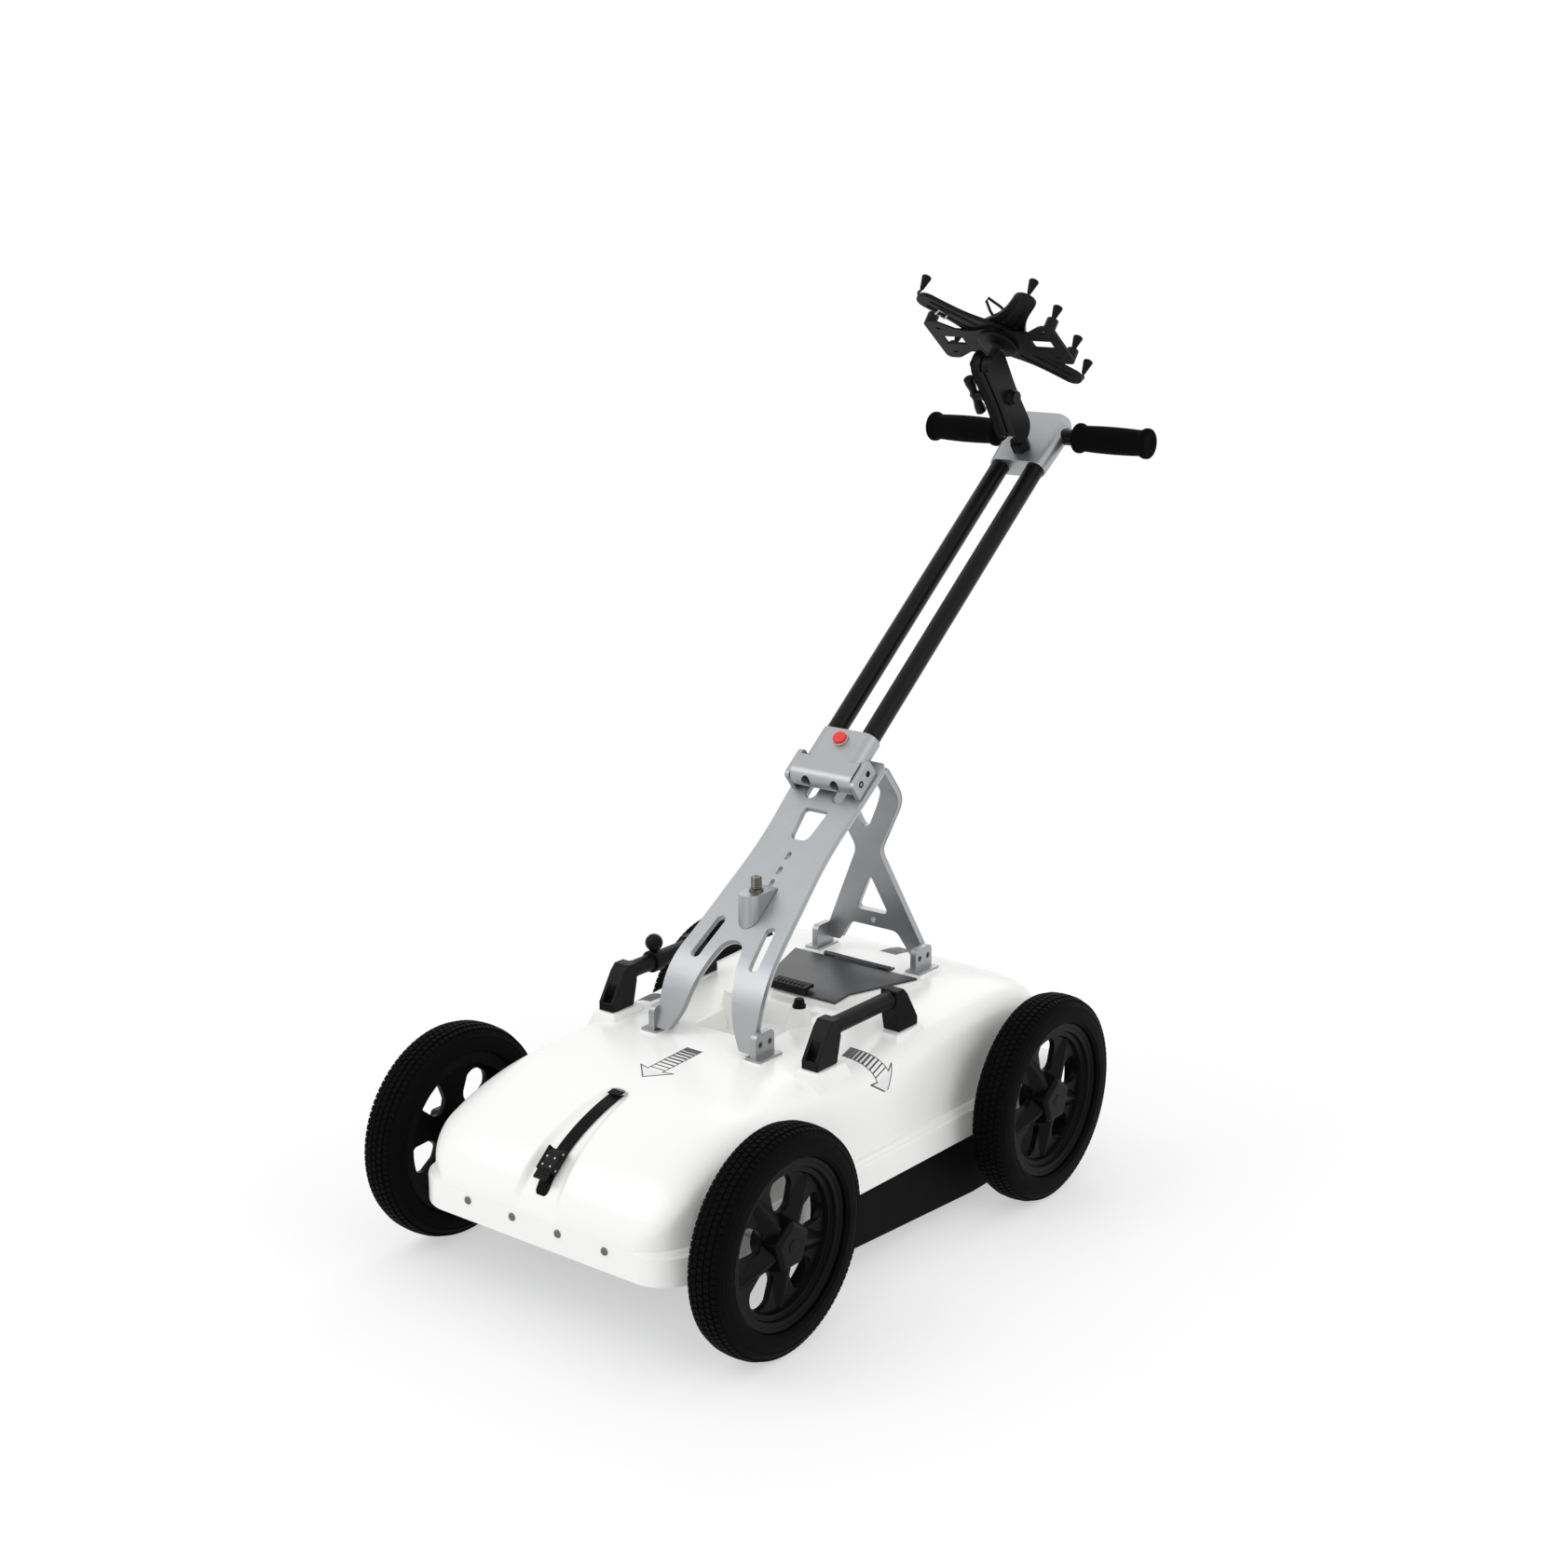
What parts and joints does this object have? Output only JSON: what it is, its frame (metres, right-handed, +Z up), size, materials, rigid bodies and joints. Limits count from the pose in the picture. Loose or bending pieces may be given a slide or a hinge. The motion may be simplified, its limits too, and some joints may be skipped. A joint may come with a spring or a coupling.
{
  "type": "ground penetrating radar cart",
  "caption": "Push cart for ground radar: white moulded cover over an antenna skid, aluminium A-frame, folding two-tube handle with foam grips and a tablet cradle on a ball arm, spoked wheels.",
  "frame": {"origin": "on the ground, under the middle of the whole cart's box", "axes": "+Z up, -Y the cart's front, +X the operator's left when pushing"},
  "size_m": [0.65, 1.1995, 1.274],
  "materials": {
    "skid_plastic": "matte black polyethylene",
    "module_plastic": "dark grey moulded housing",
    "anodised_aluminium": "bead-blasted and anodised",
    "steel": "plain steel",
    "cover_plastic": "glossy white moulded shell",
    "rubber": "soft black rubber",
    "black_plastic": "black glass-filled nylon",
    "lid_plastic": "satin black sheet",
    "red_plastic": "red button",
    "black_tube": "black coated aluminium",
    "foam_grip": "closed-cell foam",
    "tyre": "black rubber tread",
    "rim_plastic": "black moulded rim"
  },
  "bodies": {
    "chassis": {"antenna_skid": "skid_plastic", "antenna_module": "module_plastic", "chassis_frame": "anodised_aluminium", "axle_blocks": "anodised_aluminium", "axles": "steel", "wheel_bearings": "steel", "odometer": "module_plastic", "control_unit": "module_plastic", "battery_pack": "module_plastic", "frame_posts": "anodised_aluminium", "top_cover": "cover_plastic", "skirt_screws": "steel", "port_cap": "rubber", "lift_strap": "rubber", "strap_buckle": "black_plastic", "lid_hinge": "black_plastic", "carry_feet": "black_plastic", "carry_bar_left": "black_plastic", "carry_bar_right": "black_plastic", "accessory_ball": "black_plastic", "foot_brackets": "anodised_aluminium", "foot_screws": "steel", "front_frame": "anodised_aluminium", "rear_frame": "anodised_aluminium", "gps_bracket": "anodised_aluminium", "gps_stud": "steel", "hinge_lugs": "anodised_aluminium", "hinge_pins": "steel"},
    "wheel_front_left": {"tyre_front_left": "tyre", "rim_front_left": "rim_plastic"},
    "wheel_front_right": {"tyre_front_right": "tyre", "rim_front_right": "rim_plastic"},
    "wheel_rear_left": {"tyre_rear_left": "tyre", "rim_rear_left": "rim_plastic"},
    "wheel_rear_right": {"tyre_rear_right": "tyre", "rim_rear_right": "rim_plastic"},
    "handle": {"hinge_block": "anodised_aluminium", "button_ring": "steel", "tube_left": "black_tube", "tube_right": "black_tube", "handle_head": "anodised_aluminium", "cross_bar": "black_tube", "grip_left": "foam_grip", "grip_right": "foam_grip", "arm_base": "black_tube"},
    "button": {"release_button": "red_plastic"},
    "arm": {"arm_half_left": "black_tube", "arm_half_right": "black_tube", "arm_bolt": "steel"},
    "knob": {"wing_knob": "black_plastic"},
    "cradle": {"cradle_plate": "black_plastic", "cradle_hub": "black_plastic", "side_tips": "rubber"},
    "cradle_a": {"cradle_arm_a": "black_plastic", "cradle_tips_a": "rubber"},
    "cradle_b": {"cradle_arm_b": "black_plastic", "cradle_tips_b": "rubber"},
    "lid": {"lid_panel": "lid_plastic"},
    "latch": {"lid_latch": "black_plastic"},
    "lever": {"buckle_lever": "black_plastic"}
  },
  "joints": [
    {"name": "wheel_front_left_spin", "type": "hinge", "parent": "chassis", "child": "wheel_front_left", "pos_m": [0.2817, -0.44977, 0.15], "axis": [1, 0, 0], "continuous": true},
    {"name": "wheel_front_right_spin", "type": "hinge", "parent": "chassis", "child": "wheel_front_right", "pos_m": [-0.2817, -0.44977, 0.15], "axis": [1, 0, 0], "continuous": true},
    {"name": "wheel_rear_left_spin", "type": "hinge", "parent": "chassis", "child": "wheel_rear_left", "pos_m": [0.297, 0.14363, 0.15], "axis": [1, 0, 0], "continuous": true},
    {"name": "wheel_rear_right_spin", "type": "hinge", "parent": "chassis", "child": "wheel_rear_right", "pos_m": [-0.297, 0.14363, 0.15], "axis": [1, 0, 0], "continuous": true},
    {"name": "handle_fold", "type": "hinge", "parent": "chassis", "child": "handle", "pos_m": [0, 0.02465, 0.59607], "axis": [1, 0, 0], "range_deg": [0, 120]},
    {"name": "button_press", "type": "slide", "parent": "handle", "child": "button", "axis": [0, 0.6269, -0.7791], "range_m": [0, 0.003], "stiffness_N_per_m": 900, "springref_m": -0.002},
    {"name": "arm_tilt", "type": "hinge", "parent": "handle", "child": "arm", "pos_m": [0, 0.49073, 1.04809], "axis": [1, 0, 0], "range_deg": [-20, 20]},
    {"name": "knob_spin", "type": "hinge", "parent": "arm", "child": "knob", "pos_m": [0, 0.45538, 1.09658], "axis": [1, 0, 0], "continuous": true},
    {"name": "cradle_tilt", "type": "hinge", "parent": "arm", "child": "cradle", "pos_m": [0, 0.42003, 1.14505], "axis": [1, 0, 0], "range_deg": [-15, 25]},
    {"name": "cradle_a_swing", "type": "hinge", "parent": "cradle", "child": "cradle_a", "pos_m": [0, 0.44706, 1.17977], "axis": [0, 0.6143, 0.7891], "range_deg": [-8, 8], "stiffness_Nm_per_rad": 2},
    {"name": "cradle_b_swing", "type": "hinge", "parent": "cradle", "child": "cradle_b", "pos_m": [0, 0.44706, 1.17977], "axis": [0, 0.6143, 0.7891], "range_deg": [-8, 8], "stiffness_Nm_per_rad": 2},
    {"name": "lid_open", "type": "hinge", "parent": "chassis", "child": "lid", "pos_m": [0, 0.10222, 0.3013], "axis": [-1, 0, 0], "range_deg": [0, 70]},
    {"name": "latch_lift", "type": "hinge", "parent": "lid", "child": "latch", "pos_m": [-0.014, -0.02707, 0.303], "axis": [-1, 0, 0], "range_deg": [0, 70]},
    {"name": "lever_lift", "type": "hinge", "parent": "chassis", "child": "lever", "pos_m": [0, -0.54504, 0.22456], "axis": [-1, 0, 0], "range_deg": [0, 60]}
  ],
  "couplings": [
    {"joint": "cradle_b_swing", "follows": "cradle_a_swing", "ratio": -1}
  ]
}
